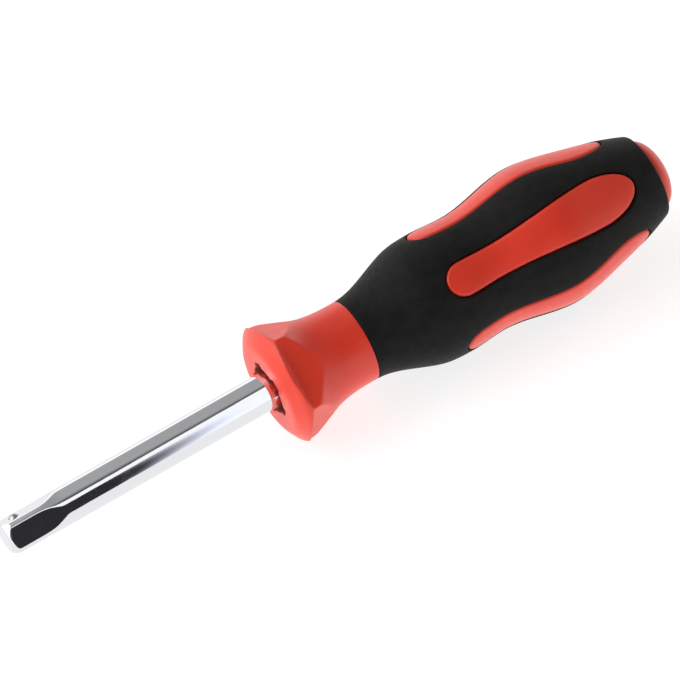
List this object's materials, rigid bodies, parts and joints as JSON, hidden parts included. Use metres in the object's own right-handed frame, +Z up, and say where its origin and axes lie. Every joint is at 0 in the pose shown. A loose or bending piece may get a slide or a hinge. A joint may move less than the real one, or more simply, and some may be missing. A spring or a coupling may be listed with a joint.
{
  "type": "spinner handle",
  "caption": "Square-drive socket spinner: a chromed shank with a sprung ball on its drive square, set in a hard plastic handle with a soft grip and an anti-roll collar.",
  "frame": {"origin": "centre of the drive square's end face", "axes": "+X along the shank's axis from the drive end to the butt, +Z up, with the middle of one flat of the collar straight below the axis"},
  "size_m": [0.1497, 0.0294, 0.0293],
  "materials": {
    "shank_chrome": "bright chrome plate over a ground steel bar",
    "ball_steel": "polished hardened steel",
    "spring_steel": "drawn spring wire",
    "core_plastic": "as moulded, hidden",
    "red_plastic": "hard red plastic, satin with a fine moulded grain",
    "grip_rubber": "soft black overmould, matt"
  },
  "bodies": {
    "handle": {"drive_shank": "shank_chrome", "inner_core": "core_plastic", "handle_body": "red_plastic", "grip_sleeve": "grip_rubber", "detent_spring": "spring_steel"},
    "ball": {"detent_ball": "ball_steel"}
  },
  "joints": [
    {"name": "ball_press", "type": "slide", "parent": "handle", "child": "ball", "axis": [0, 0.5878, 0.809], "range_m": [-0.0005, 0], "stiffness_N_per_m": 1500, "springref_m": 0.0006, "deforming": ["detent_spring"]}
  ]
}
